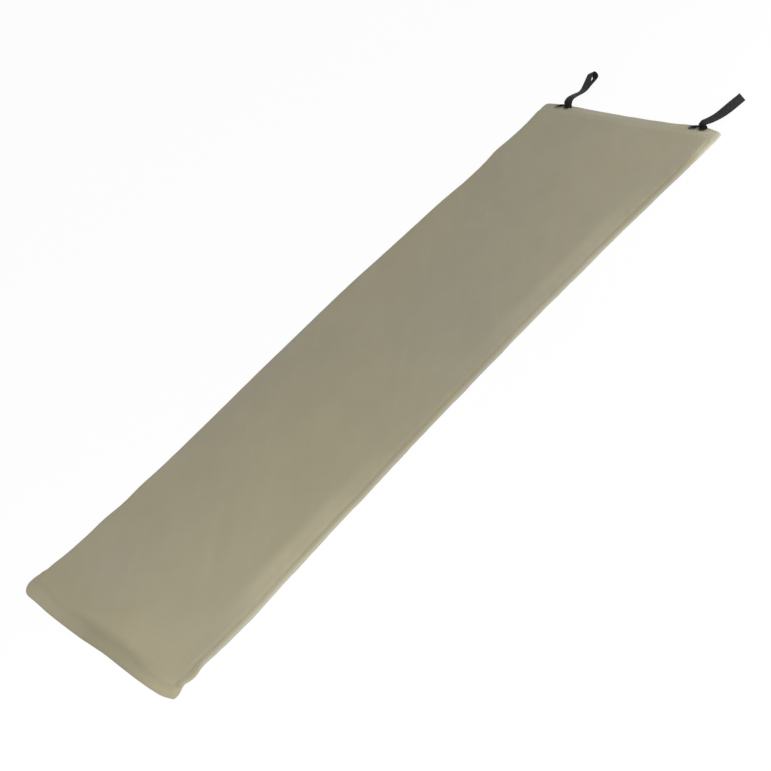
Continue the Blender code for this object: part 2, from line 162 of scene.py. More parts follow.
# Strap through a pair of eyelets, from its lower ply round to its upper ply, in the pair's own axes in
# millimetres: across, along, off the hem, half width, pleat depth and how far it is turned from along to
# across
ANCHOR_ROUTE = np.array((
    (12.2, 4.6, 6.6, 9, 0.3, 0.85), (10, 4.5, 5.4, 6.2, 0.5, 0.45), (4.5, 3.8, 4.7, 4.2, 0.6, 0.12),
    (-4, 2.8, 4.4, 3.4, 0.6, 0), (-9.4, 1.4, 4.2, 3.4, 0.6, 0), (-12.6, 0.3, 2.6, 3.8, 0.6, 0),
    (-13.1, 0, -1.2, 4.2, 0.6, 0), (-12.2, 0, -3.3, 4.6, 0.4, 0), (-8.5, 0, -3.8, 5.6, 0.15, 0),
    (0, 0, -3.8, 6, 0, 0), (8.5, 0, -3.8, 5.6, 0.15, 0), (12.2, 0, -3.3, 4.6, 0.4, 0),
    (14.2, 0.2, -1.2, 4.3, 0.55, 0.25), (14.8, 1.2, 1.4, 4.6, 0.6, 0.6), (15, 2.2, 3.4, 6.6, 0.5, 0.9),
    (15.1, 2.6, 5, 9.6, 0.3, 1)))

# Free loop of each strap from above its eyelet to its end, in millimetres from its hinge: across, along, up,
# the turn of the webbing about its run in degrees, from lying flat, and the gap between its plies
ROUTES = {
    "left": np.array((
        (5, 2.2, -4.2, 0, 0.2), (5.2, 3.8, 0.4, 0, 0.2), (4.8, 9.8, 4.7, 0, 0.2), (4.2, 19.4, 5.8, -2, 0.2),
        (4.6, 31.5, 3.8, -5, 0.2), (5.7, 44.5, 0.8, -7, 0.2), (6.4, 58.5, -2.8, -10, 0.4),
        (3.8, 73, -5, -10, 1.6), (-0.4, 88, -5.2, -11, 4), (-4.4, 102.8, -5, -15, 8.8),
        (-7.6, 116.7, -4.4, -20, 14), (-9.7, 127, -3, -23, 16.6), (-10.4, 131.6, -2.4, -24, 16.2))),
    "right": np.array((
        (2, 2.2, -4.4, 0, 0.2), (2, 3.2, -0.8, 0, 0.2), (3.8, 8, 2.4, 0, 0.2), (10, 17, 1.8, 5, 0.2),
        (14.4, 29.6, -0.1, 9.5, 0.2), (18, 45.6, -2.2, 15, 0.2), (20.6, 61.6, -3.4, 26, 0.3),
        (22.2, 80, -4.6, 34, 1.2), (23.4, 100.5, -6.1, 45, 3.2), (25.7, 118.2, -6.3, 50, 4.2),
        (26.8, 129.3, -6.5, 50, 3))),
}
STRAP_ROWS = 560

# Stitching: where the bar tacks lie along the loop, their stitches and their slant, how far out they reach
# as a share of the half width, where each stitch at the edges starts, and its length
TACKS = (0.034, 0.052)
TACK_STITCHES = 14
TACK_SLANT = 0.0011
TACK_REACH = 0.72
EDGE_STITCHES = 0.0365 + 0.0026 * np.arange(6)
EDGE_STITCH = 0.0019
# Thread: its radius, how far it arches and sinks, and its rings and sides
THREAD_RADIUS = 0.00022
THREAD_ARCH, THREAD_SINK = 0.00012, 0.00018
THREAD_RINGS, THREAD_SIDES = 7, 6

# Floor: half its side, and how far it lies below the underside
FLOOR_REACH = 14.0
FLOOR_GAP = 0.0004
# Strength of the white behind the mat, in the world and in the floor
WORLD_WHITE = 0.98
FLOOR_WHITE = 0.94
# Width and length of a lamp's face, and the place, aim and tint of each lamp
LAMP_SIZE = (0.8, 1.4)
LAMPS = {"key": ((1.3, -1.6, 0.9), (0.0, -0.96, 0.0), (1.0, 0.99, 0.97)),
         "fill": ((1.3, 1.4, 0.5), (0.1, 0.6, 0.0), (1.0, 1.0, 0.99))}


def length(name, description, default, least, most):
    """A size in metres that a user may change."""
    return FloatProperty(name=name, description=description, default=default, min=least, max=most,
                         unit="LENGTH")


def colour(name, description, default):
    """A colour that a user may change."""
    return FloatVectorProperty(name=name, description=description, default=default, min=0.0, max=1.0,
                               subtype="COLOR")


class CoverSettings(PropertyGroup):
    top_shoulder: length("Side shoulder", "Width of the pad's rounded edge along its sides",
                         0.007, 0.004, 0.03)
    end_shoulder: length("End shoulder", "Width over which the pad's ends flatten into the hem",
                         0.018, 0.004, 0.04)
    under_shoulder: length("Under shoulder", "Width of the pad's rounded edge below", 0.008, 0.003, 0.03)
    unevenness: length("Unevenness", "Height of the slow waves over the pad", 0.0007, 0.0, 0.003)
    pucker: length("Puckers", "Height of the puckers beside the seam", 0.0004, 0.0, 0.003)
    rise: length("Rise", "How far the top fabric may lift off the pad when it settles", 0.0014, 0.0, 0.004)
    slack: FloatProperty(name="Slack", default=0.004, min=0.0, max=0.02, subtype="FACTOR",
                         description="How much larger than the pad the top fabric was cut, as a share")
    hem_wave: length("Hem wave", "Height of the waves along the hem's edge", 0.0010, 0.0, 0.003)


class EyeletSettings(PropertyGroup):
    bore: length("Bore", "Diameter of the opening", 0.011, 0.005, 0.02)
    wall: length("Wall", "Thickness of the barrel", 0.0006, 0.0003, 0.001)
    rim: length("Rim", "Diameter across the flange", 0.021, 0.012, 0.03)
    rise: length("Rise", "Height of the domed flange", 0.0018, 0.0005, 0.003)
    washer: length("Washer", "Thickness of the washer", 0.0006, 0.0003, 0.001)


class StrapSettings(PropertyGroup):
    width: length("Webbing width", "Width of the webbing", 0.0222, 0.01, 0.03)
    thickness: length("Webbing thickness", "Thickness of one ply", 0.0014, 0.0008, 0.002)


class FinishSettings(PropertyGroup):
    fabric: colour("Fabric", "Colour of the cover's top", (0.2765, 0.2548, 0.1800))
    underside: colour("Underside", "Colour of the cover's underside", (0.254, 0.234, 0.166))
    hem: colour("Hem", "Colour of the bonded hem, where the coating shows through", (0.335, 0.328, 0.290))
    # Also carries painted highlights: round the eyelets and at the far right corner, besides pale wear
    rubbed: colour("Rubbed fabric", "Colour of the fabric where it is rubbed pale", (0.480, 0.455, 0.365))
    # Painted shade: a brownish shade along the seam at the far right corner, at the pad's foot
    stain: colour("Stain", "Colour of the brown stain at the far right corner", (0.190, 0.150, 0.078))
    foam: colour("Foam", "Colour of the foam", (0.560, 0.540, 0.470))
    metal: colour("Metal", "Colour of the blackened eyelets", (0.034, 0.032, 0.025))
    # Painted light, with some wear: a lighter copy of the blackened metal for the left eyelets, which catch
    # more light
    worn_metal: colour("Worn metal", "Colour of the left eyelets, whose blackening is half worn off",
                       (0.095, 0.090, 0.074))
    webbing: colour("Webbing", "Colour of the straps", (0.0085, 0.0085, 0.0095))


class StageSettings(PropertyGroup):
    key: FloatProperty(name="Key light", description="Power of the main soft light",
                       default=33.0, min=0.0, unit="POWER")
    fill: FloatProperty(name="Fill light", description="Power of the soft light beside the loops",
                        default=20.0, min=0.0, unit="POWER")
    sky: FloatProperty(name="Sky", description="Strength of the even light all round", default=0.60, min=0.0)


class Socket:
    """One output of a shader node. Arithmetic on it adds Math nodes to its tree."""

    def __init__(self, shader, output):
        self.shader = shader
        self.output = output

    def math(self, operation, *values):
        """A Math node on the values, or on this socket alone."""
        return self.shader.add("ShaderNodeMath", {"operation": operation}, dict(enumerate(values or (self,))))

    def __add__(self, other):
        return self.math("ADD", self, other)

    def __sub__(self, other):
        return self.math("SUBTRACT", self, other)

    def __rsub__(self, other):
        return self.math("SUBTRACT", other, self)

    def __mul__(self, other):
        return self.math("MULTIPLY", self, other)

    def __truediv__(self, other):
        return self.math("DIVIDE", self, other)

    __radd__ = __add__
    __rmul__ = __mul__

    def between(self, low, high):
        """0 at low, 1 at high, eased and clamped."""
        return self.shader.add("ShaderNodeMapRange", {"clamp": True, "interpolation_type": "SMOOTHSTEP"},
                               {"Value": self, "From Min": low, "From Max": high})


class Shader:
    """A material with a Principled BSDF, or a world, and the one way in which its tree gains a node."""

    def __init__(self, name, values, world=None):
        self.owner = world or bpy.data.materials.new(name)
        self.owner.use_nodes = True
        self.tree = self.owner.node_tree
        self.surface = self.tree.nodes["Background" if world else "Principled BSDF"]
        self.set(values)

    def feed(self, socket, value):
        """Link a Socket, or set a number or colour."""
        if isinstance(value, Socket):
            self.tree.links.new(value.output, socket)
        elif socket.type == "RGBA":
            socket.default_value = (*value, 1.0)
        else:
            socket.default_value = value

    def set(self, values):
        """Feed the surface's own sockets."""
        for name, value in values.items():
            self.feed(self.surface.inputs[name], value)

    def finished(self, colour, roughness, normal):
        """Feed what varies over the surface, and give back the material."""
        self.set({"Base Color": colour, "Roughness": roughness, "Normal": normal})
        return self.owner

    def add(self, kind, settings=None, inputs=None, output=0):
        """Add a node: its settings first, then its sockets, and give back one output."""
        node = self.tree.nodes.new(kind)
        for name, value in (settings or {}).items():
            setattr(node, name, value)
        for name, value in (inputs or {}).items():
            self.feed(node.inputs[name], value)
        return Socket(self, node.outputs[output])

    def mix(self, factor, one, two, blend_type="MIX"):
        """Two colours mixed. Sockets 0, 6 and 7 are the factor, A and B, and output 2 is the result."""
        return self.add("ShaderNodeMix", {"data_type": "RGBA", "blend_type": blend_type},
                        {0: factor, 6: one, 7: two}, 2)

    def noise(self, vector, scale, detail=2.0, roughness=0.5, distortion=0.0):
        """Cloudy noise about 0.5."""
        return self.add("ShaderNodeTexNoise", None, {"Vector": vector, "Scale": scale, "Detail": detail,
                                                     "Roughness": roughness, "Distortion": distortion})

    def place(self):
        """Object coordinates, in metres."""
        return self.add("ShaderNodeTexCoord", output="Object")

    def flat(self):
        """The piece's own UV map, in metres on the flat cloth, and its two parts across and along."""
        flat = self.add("ShaderNodeUVMap", {"uv_map": "flat"})
        node = self.add("ShaderNodeSeparateXYZ", None, {"Vector": flat}).output.node
        return flat, Socket(self, node.outputs["X"]), Socket(self, node.outputs["Y"])

    def stretch(self, vector, y, z=1.0):
        """The vector with its y and z scaled, so that what it places is drawn out."""
        return self.add("ShaderNodeVectorMath", {"operation": "MULTIPLY"}, {0: vector, 1: (1.0, y, z)})

    def attribute(self, name):
        """A value that the mesh holds at each of its points."""
        return self.add("ShaderNodeAttribute", {"attribute_name": name}, output="Fac")

    def bump(self, height, distance, strength, **under):
        """A Bump node's normal. What lies under it is given as Normal."""
        inputs = {"Height": height, "Distance": distance, "Strength": strength, **under}
        return self.add("ShaderNodeBump", None, inputs)

    def background_seen(self):
        """1 for the rays that show the background: to the camera, off gloss and through glass."""
        path = self.add("ShaderNodeLightPath").output.node
        camera, glossy, through = (Socket(self, path.outputs["Is " + kind + " Ray"])
                                   for kind in ("Camera", "Glossy", "Transmission"))
        return camera.math("MINIMUM", camera + glossy + through, 1.0)


def shaded(colour, *factors):
    """The colour made lighter or darker by a factor, or by one for each of its channels."""
    return tuple(np.minimum(np.array(colour) * factors, 1.0))


def fabric_material(name, colour, hem_colour, finish):
    """Peach-skin polyester with a coated back: weave under a soft nap, pale wear, painted light and shade.

    The weave is two sets of threads that go over and under each other, the nap is fine noise, and the
    colour drifts by a few percent in patches the size of a hand.
    """
    shader = Shader(name, {"Specular IOR Level": 0.28, "Sheen Weight": 0.22, "Sheen Roughness": 0.45,
                           "Sheen Tint": (0.95, 0.93, 0.85)})
    flat, across, along = shader.flat()
    hem, crease, stain, rubbed, yellowed, shade = (
        shader.attribute(label) for label in ("hem", "crease", "stain", "rubbed", "yellowed", "shade"))

    pitch = 2 * pi / FABRIC_THREAD
    weave = (across * pitch).math("SINE") * (along * pitch).math("SINE")
    nap = shader.noise(flat, 2600.0, 3.0, 0.65)
    lint = shader.noise(shader.stretch(flat, 0.35), 420.0, 4.0, 0.6)
    patches = shader.noise(flat, 9.0, 5.0, 0.55, 0.4)
    drift = shader.noise(shader.stretch(flat, 0.45), 2.6, 3.0)
    slant = shader.add("ShaderNodeCombineXYZ", None, {"X": across + along * 0.8, "Y": along - across * 0.8})
    streaks = shader.noise(shader.stretch(slant, 0.16), 26.0, 5.0, 0.6)

    tone = 1.0 + (patches - 0.5) * 0.15 + (drift - 0.5) * 0.12 + (streaks - 0.5) * 0.05
    fine = 1.0 + (nap - 0.5) * 0.20 + (lint - 0.5) * 0.14 + weave * 0.02
    aged = drift.between(0.35, 0.65) * 0.8 + yellowed
    body = shader.mix(aged, colour, shaded(colour, 1.02, 0.995, 0.925))
    worn = shader.mix(streaks.between(0.52, 0.75) * 0.12, body, shaded(colour, 1.20))
    coated = shader.mix(hem * 0.55, worn, hem_colour)
    # Pale wear and painted highlights
    edge = shader.mix(rubbed * patches.between(0.20, 0.50), coated, finish.rubbed)
    # Painted shade in the creases beside the seam and under the near rim
    crease_shaded = shader.mix(crease, edge, shaded(colour, 0.72))
    # Painted brownish shade at the pad's foot by the far right corner, broken into spots
    spots = lint.between(0.35, 0.60) * patches.between(0.42, 0.58)
    brown_shaded = shader.mix(stain * spots, crease_shaded, finish.stain)
    cloth = shader.bump(weave * 0.35 + nap * 0.9 + lint * 0.8, 0.00012, 0.55)
    # The shade attribute paints light and shade over the fabric's own tone
    return shader.finished(shader.mix(1.0, brown_shaded, tone * fine * (1.0 + shade), "MULTIPLY"),
                           0.86 - hem * 0.22 + (nap - 0.5) * 0.10,
                           shader.bump(patches + streaks * 0.4, 0.0014, 0.30, Normal=cloth))


def foam_material(colour):
    """Closed-cell foam: a blotched skin of small round cells, with painted shade in their middles."""
    shader = Shader("closed_cell_foam", {})
    place = shader.place()
    cells = shader.add("ShaderNodeTexVoronoi", None, {"Vector": place, "Scale": 900.0})
    blotch = shader.noise(place, 40.0, 3.0)
    skin = shader.mix(cells.between(0.1, 0.6), shaded(colour, 0.72), colour)
    return shader.finished(shader.mix(blotch * 0.3, skin, shaded(colour, 0.85)), 0.84 + blotch * 0.12,
                           shader.bump(cells, 0.0004, 0.6))


def metal_material(name, colour):
    """Blackened steel: an uneven oxide film with fine turning lines and brighter rubbed spots."""
    shader = Shader(name, {"Metallic": 0.9, "Coat Weight": 0.15, "Coat Roughness": 0.25})
    place = shader.place()
    film = shader.noise(place, 420.0, 4.0, 0.6)
    rub = shader.noise(place, 130.0, 5.0, 0.7)
    grain = shader.noise(shader.stretch(place, 1.0, 6.0), 3000.0)
    tint = shader.mix(film.between(0.35, 0.7), colour, shaded(colour, 2.1, 1.9, 1.5))
    return shader.finished(shader.mix(rub.between(0.62, 0.8) * 0.6, tint, BARE_STEEL),
                           0.27 + film * 0.22 + (grain - 0.5) * 0.10,
                           shader.bump(grain * 0.5 + film, 0.00006, 0.5))


def webbing_material(colour):
    """Woven webbing: columns of stitches, slanted one way in one column and the other way in the next."""
    shader = Shader("black_webbing", {"Specular IOR Level": 0.16, "Sheen Weight": 0.04,
                                      "Sheen Roughness": 0.4})
    flat, across, along = shader.flat()
    column = across / WEBBING_COLUMN
    turn = (column.math("FLOOR") / 2.0).math("FRACT") * 4.0 - 1.0
    inside = column.math("FRACT") - 0.5
    stitch = ((along / WEBBING_STITCH + inside * turn * 0.8) * pi).math("SINE").math("ABSOLUTE")
    fuzz = shader.noise(flat, 2400.0, 4.0, 0.7)
    wear = shader.noise(flat, 180.0, 4.0, 0.6)
    height = (1.0 - inside * inside * 4.0) * 0.55 + stitch * 0.45
    # Painted shade in the hollows between the threads, lighter on their crowns
    threads = shader.mix(height.between(0.25, 0.95), shaded(colour, 0.3), shaded(colour, 1.5))
    # Painted highlight: glints on the fuzz
    glint = shader.mix(fuzz.between(0.55, 0.8) * 0.5, threads, shaded(colour, 3.6))
    return shader.finished(shader.mix(wear.between(0.45, 0.72) * 0.8, glint, shaded(colour, 2.8)),
                           0.62 + fuzz * 0.2, shader.bump(height + fuzz * 0.35, 0.00028, 0.8))


def thread_material(colour):
    """Bonded nylon thread: two plies twisted along the stitch."""
    shader = Shader("black_thread", {})
    _, across, along = shader.flat()
    twist = ((along * 2600.0 + across * 900.0) * pi).math("SINE").math("ABSOLUTE")
    # Painted shade in the groove between the plies and a painted highlight on their crowns
    return shader.finished(shader.mix(twist, shaded(colour, 0.7), shaded(colour, 2.6)), 0.62 - twist * 0.2,
                           shader.bump(twist, 0.0001, 0.7))


def eased(value):
    """0 below 0, 1 above 1, and 3v^2 - 2v^3 between."""
    value = np.clip(value, 0.0, 1.0)
    return value * value * (3.0 - 2.0 * value)


def bell(value, middle, width):
    """1 at the middle, falling to 0 on both sides like a bell about as wide as the width."""
    return np.exp(-((value - middle) / width) ** 2)


def curve_through(table, at):
    """Smooth curve through (place, value) stations: a cubic between each two, sloped by its neighbours."""
    place, value = table.T
    slope = np.gradient(value, place)
    i = np.clip(np.searchsorted(place, at) - 1, 0, len(place) - 2)
    span = place[i + 1] - place[i]
    t = np.clip((at - place[i]) / span, 0.0, 1.0)
    level = value[i] + (value[i + 1] - value[i]) * eased(t)
    return level + span * (t * (1 - t) ** 2 * slope[i] + t * t * (t - 1) * slope[i + 1])


def ripple(x, y, wavelength, turn):
    """Uneven waves about one length apart: five sines of nearby lengths and directions, added up."""
    total = 0.0
    for k in range(5):
        angle = turn + 2.4 * k
        along = x * cos(angle) + y * sin(angle)
        total += np.sin(2 * pi * along / (wavelength * (0.72 + 0.19 * k)) + 1.7 * k * k + turn)
    return total / 3.0


def unit(rows):
    """Each row scaled to length 1."""
    return rows / np.linalg.norm(rows, axis=1)[:, None]


def path_lengths(points):
    """Length along a path from its start to each of its points."""
    return np.concatenate([[0.0], np.cumsum(np.linalg.norm(np.diff(points, axis=0), axis=1))])


def read_along(rows, lengths, at):
    """Rows of numbers on a path, read at the given lengths along it."""
    return np.stack([np.interp(at, lengths, column) for column in rows.T], 1)


def inside_corner(u, v, radius):
    """Distance in from the nearer of two edges that meet in a round corner."""
    corner = radius - np.hypot(np.maximum(radius - u, 0.0), np.maximum(radius - v, 0.0))
    return np.where((u < radius) & (v < radius), corner, np.minimum(u, v))


def at_corner(x, y, radii):
    """The radius of the corner in whose quarter of the mat each point lies."""
    return np.where(y < 0, np.where(x < 0, radii[-1, -1], radii[1, -1]),
                    np.where(x < 0, radii[-1, 1], radii[1, 1]))


def edge_distance(x, y):
    """Distance in from the cover's edge, never less than 0."""
    inward = inside_corner(HALF_WIDTH - np.abs(x), HALF_LENGTH - np.abs(y), at_corner(x, y, CORNER_RADII))
    return np.maximum(inward, 0.0)


def seam_distance(x, y):
    """Distance in from the seam round the pad, negative over the hem, and how far it is an end's seam."""
    strip = np.where(x < 0, SIDE_STRIP, curve_through(RIGHT_STRIP, y))
    side = HALF_WIDTH - strip - np.abs(x)
    end = np.where(y < 0, y + HALF_LENGTH - curve_through(NEAR_HEM, x), HALF_LENGTH - FAR_HEM - y)
    to_side, to_end = np.maximum(side, 1e-4) ** 2, np.maximum(end, 1e-4) ** 2
    return inside_corner(side, end, at_corner(x, y, PAD_RADII)), to_side / (to_side + to_end)


def eyelet_distance(x, y):
    """Distance from the nearest eyelet's centre."""
    return np.min([np.hypot(x - centre, y - EYELET_Y) for centre in EYELETS.values()], axis=0)


def spaced(distances, half, step):
    """Places from -half to half: the given distances in from both edges, and even steps between."""
    edge = np.array(distances)
    count = round(2 * (half - edge[-1]) / step)
    middle = np.linspace(edge[-1] - half, half - edge[-1], count + 1)
    return np.concatenate([edge[:-1] - half, middle, (half - edge[:-1])[::-1]])


def round_corners(x, y, half_x, half_y, radii):
    """Draw the corners of a rectangular grid onto arcs, each by mapping its square onto a quarter disc."""
    for (sign_x, sign_y), radius in radii.items():
        u = (sign_x * x - half_x + radius) / radius
        v = (sign_y * y - half_y + radius) / radius
        corner = (u > 0) & (v > 0)
        new_u = u * np.sqrt(np.maximum(1 - v * v / 2, 0.0))
        new_v = v * np.sqrt(np.maximum(1 - u * u / 2, 0.0))
        x = np.where(corner, sign_x * (half_x - radius + radius * new_u), x)
        y = np.where(corner, sign_y * (half_y - radius + radius * new_v), y)
    return x, y


def widened(x, y, reach=0.06):
    """Move the columns beside the right edge so that the seam stays on its column where the strip widens."""
    inset = HALF_WIDTH - x
    width = curve_through(RIGHT_STRIP, y)
    inner = width + (inset - SIDE_STRIP) * (reach - width) / (reach - SIDE_STRIP)
    beside = np.where(inset < reach, inner, inset)
    return HALF_WIDTH - np.where(inset < SIDE_STRIP, inset * width / SIDE_STRIP, beside)


def laid(x, y):
    """Shift the straight mat to how it lies: the long edges by their stations, and each end by its own."""
    share = (x + HALF_WIDTH) / (2 * HALF_WIDTH)
    shift = curve_through(LEFT_EDGE, y) * (1 - share) + curve_through(RIGHT_EDGE, y) * share
    near = curve_through(NEAR_EDGE, x) * eased(1 - (y + HALF_LENGTH) / END_REACH)
    far = curve_through(FAR_EDGE, x) * eased(1 - (HALF_LENGTH - y) / END_REACH)
    return x + shift, y + near + far


def snapped_to_holes(x, y):
    """Draw the grid's nearest points onto the circle of each eyelet's hole."""
    for centre in EYELETS.values():
        across, along = x - centre, (y - EYELET_Y) / HEM_COS
        distance = np.hypot(across, along)
        factor = np.where(np.abs(distance - HOLE) < 0.0013, HOLE / np.maximum(distance, 1e-9), 1.0)
        x, y = centre + across * factor, EYELET_Y + along * factor * HEM_COS
    return x, y


def cover_points(x, y, side, settings, depth=0.0):
    """Heights of the cover's outer surface, above (side 1) or below (side -1) the pad, depth inside it.

    Over the pad the surface climbs from the seam on a quarter ellipse to the flat, more softly at the
    ends. Over the hem it sinks from the seam to the toe in proportion to how far across the hem it is.
    """
    inward, at_end = seam_distance(x, y)
    outward = edge_distance(x, y)
    hem = np.where(inward < 0, -inward / np.maximum(-inward + outward, 1e-9), 0.0)
    from_eyelet = eyelet_distance(x, y)
    # The fabric lies calm where an eyelet clamps it
    calm = eased((from_eyelet - 0.011) / 0.016)

    above = side > 0
    run = settings.under_shoulder
    if above:
        run = settings.top_shoulder + (settings.end_shoulder - settings.top_shoulder) * at_end
    share = np.clip(inward / (run - depth), 0.0, 1.0)
    climb = np.sqrt(1 - (1 - share) ** 2)
    if above:
        climb += (eased(share ** 0.8) - climb) * at_end * 0.75
    start = SEAM_HEIGHT + side * (GAP / 2 + FABRIC - depth)
    flat_level = PAD_TOP - depth if above else depth
    z = start + np.where(inward > 0, (flat_level - start) * climb, (HEM_TOE - SEAM_HEIGHT) * hem)

    wave = ripple(x, y, 0.085, 0.4) * 0.65 + ripple(x, y, 0.034, 2.1) * 0.35
    z += settings.hem_wave * wave * hem * calm
    if above:
        beside = np.exp(-np.maximum(inward, 0.0) / 0.016) * climb * calm * (1 - 0.7 * at_end)
        gather = bell(from_eyelet, HALO, 0.0022) * np.where(y < EYELET_Y, 1.0, 0.3)
        z += settings.unevenness * ripple(x, y, 0.33, 1.1) * eased(inward / 0.055)
        z += settings.pucker * (ripple(x, y, 0.042, 0.9) * beside + 0.5 * gather)
    return z, hem, inward, at_end


def cover_shades(x, y, hem, inward, at_end):
    """Attributes for the fabric's colour: coating, pale wear, painted highlights and shade, yellowing.

    The grey coating shows over the strips at the sides and at the rim of the ends. Round the eyelets the
    fabric is painted lighter as a highlight, and the far right corner is rubbed pale and painted lighter,
    with a brownish painted shade along the seam. Painted shade lies beside the seam, narrow at the sides and
    wide and faint at the ends, and under the near rim. The near end is a little yellower, and the right side
    and the hems carry painted light and shade in stretches.
    """
    from_edge = edge_distance(x, y)
    near, far, left, right = (np.where(where, 1.0, 0.0) for where in (y < 0, y > 0, x < 0, x > 0))
    at_side = 1 - at_end
    right_side = at_side * right
    far_right = eased((y - 0.76) / 0.06) * right
    foot = eased((-y - 0.81) / 0.05) * right
    wall = curve_through(RIGHT_WALL_SHADE, y)

    # On the right the coating is cut back where the painted wall shade is deep, so the strip is painted
    # darker there too
    sides = hem * at_side * (left * 0.85 + right * np.clip(1.75 - wall, 0.2, 1.0) * (1 - 0.8 * foot))
    rim_share = 0.5 * far + near * np.interp(x, (-0.26, -0.16), (0.5, 0.0))
    coating = (sides + bell(from_edge, 0.0, 0.0028) * at_end * rim_share + 0.15 * hem * far * at_end
               + 0.35 * np.exp(-from_edge / 0.010) * eased((-x - 0.12) / 0.12) * near)

    # Painted highlight round the eyelets; the far right corner and strip are pale wear and painted light
    halo = bell(eyelet_distance(x, y), HALO, 0.0035) * np.where(y < EYELET_Y, 1.0, 0.2)
    corner = eased(1 - np.hypot(x - HALF_WIDTH, y - HALF_LENGTH) / 0.040)
    beside = np.exp(-np.maximum(HALF_WIDTH - x, 0.0) / 0.018) * far_right
    rubbed = (halo * (0.12 * left + 0.40 * right) + 0.38 * hem * far_right * at_side + 0.55 * corner
              + 0.25 * beside)

    # Painted shade: dark lines in the crease beside the seam, below the right shoulder and at its foot, and
    # under the near rim
    line = (0.22 * left * bell(inward, 0.0040, 0.0048) + 0.95 * wall * right * bell(inward, 0.0014, 0.0038)
            + 0.6 * foot * bell(inward, 0.0005, 0.0040)) * at_side
    crease = (line * (1 - 0.6 * far_right) + 0.26 * bell(inward, 0.001, 0.0060) * at_end
              + 0.40 * bell(from_edge, 0.0, 0.0030) * near * at_end)

    # Painted light and shade: lighter and darker stretches along the right side and across the two hems
    shade = (curve_through(RIGHT_SHADE, y) * eased(1 - (inward - 0.035) / 0.035) * right_side
             + 0.05 * bell(inward, 0.0100, 0.0050) * right_side
             + curve_through(NEAR_SHADE, x) * eased(1 - (from_edge - 0.030) / 0.020) * near * at_end
             + curve_through(FAR_SHADE, x) * eased(1 - (from_edge - 0.014) / 0.016) * far * at_end)
    shares = {"hem": coating, "rubbed": rubbed, "crease": crease,
              # Painted brownish shade along the seam at the far right corner
              "stain": 0.85 * bell(inward, -0.001, 0.0060) * far_right * at_side,
              "yellowed": 0.8 * eased((-y - 0.79) / 0.07)}
    return {"shade": shade, **{label: np.clip(values, 0.0, 1.0) for label, values in shares.items()}}


def quads(rows, columns, close_rows=False, close_columns=False):
    """Corner rows and columns of each square of a grid, as two arrays with four numbers a face."""
    r = np.arange(rows if close_rows else rows - 1)
    c = np.arange(columns if close_columns else columns - 1)
    r, c = (part.ravel() for part in np.meshgrid(r, c, indexing="ij"))
    return np.stack([r, r, r + 1, r + 1], 1), np.stack([c, c + 1, c + 1, c], 1)


def turned_out(points, faces, corner_uv, facing=None):
    """Faces and the UV of their corners, turned so that a closed shape's volume is positive.

    The volume is a sum over the faces, and for an open shape the sum of the faces' areas that look
    towards facing takes its place.
    """
    a, b, c, d = np.moveaxis((points - points.mean(0))[faces], 1, 0)
    if facing is None:
        size = np.sum(a * np.cross(c, d - b))
    else:
        size = np.cross(c - a, d - b).sum(0) @ facing
    return (faces[:, ::-1], corner_uv[:, ::-1]) if size < 0 else (faces, corner_uv)


def add_mesh(name, points, faces, corner_uv, material, attributes=None):
    """Put arrays of points, four-cornered faces and the UV of each corner into a smooth mesh object."""
    used, index = np.unique(faces, return_inverse=True)
    mesh = bpy.data.meshes.new(name)
    mesh.from_pydata(points[used].tolist(), [], index.reshape(faces.shape).tolist())
    mesh.uv_layers.new(name="flat").data.foreach_set("uv", corner_uv.ravel().astype(np.float32))
    for label, values in (attributes or {}).items():
        attribute = mesh.attributes.new(label, "FLOAT", "POINT")
        attribute.data.foreach_set("value", values.ravel()[used].astype(np.float32))
    mesh.shade_smooth()
    mesh.materials.append(material)
    piece = bpy.data.objects.new(name, mesh)
    bpy.context.scene.collection.objects.link(piece)
    return piece


def add_surface(name, grid, along, across, material, facing=None, keep=None, attributes=None):
    """Make an object from a grid of points, with the flat lengths along and across as its UV map.

    The grid is closed both ways, or else open and turned towards facing.
    """
    rows, columns = grid.shape[:2]
    closed = facing is None
    r, c = quads(rows, columns, closed, closed)
    points = grid.reshape(-1, 3)
    corner_uv = np.stack([across[c], along[r]], -1)
    faces, corner_uv = turned_out(points, (r % rows) * columns + c % columns, corner_uv, facing)
    if keep is not None:
        kept = keep(*points[faces].mean(1)[:, :2].T)
        faces, corner_uv = faces[kept], corner_uv[kept]
    return add_mesh(name, points, faces, corner_uv, material, attributes)


def read_mesh(items, label, width):
    """A value of each of a mesh's items, as rows of a width."""
    values = np.empty(len(items) * width, np.float32)
    items.foreach_get(label, values)
    return values.reshape(-1, width).astype(float)


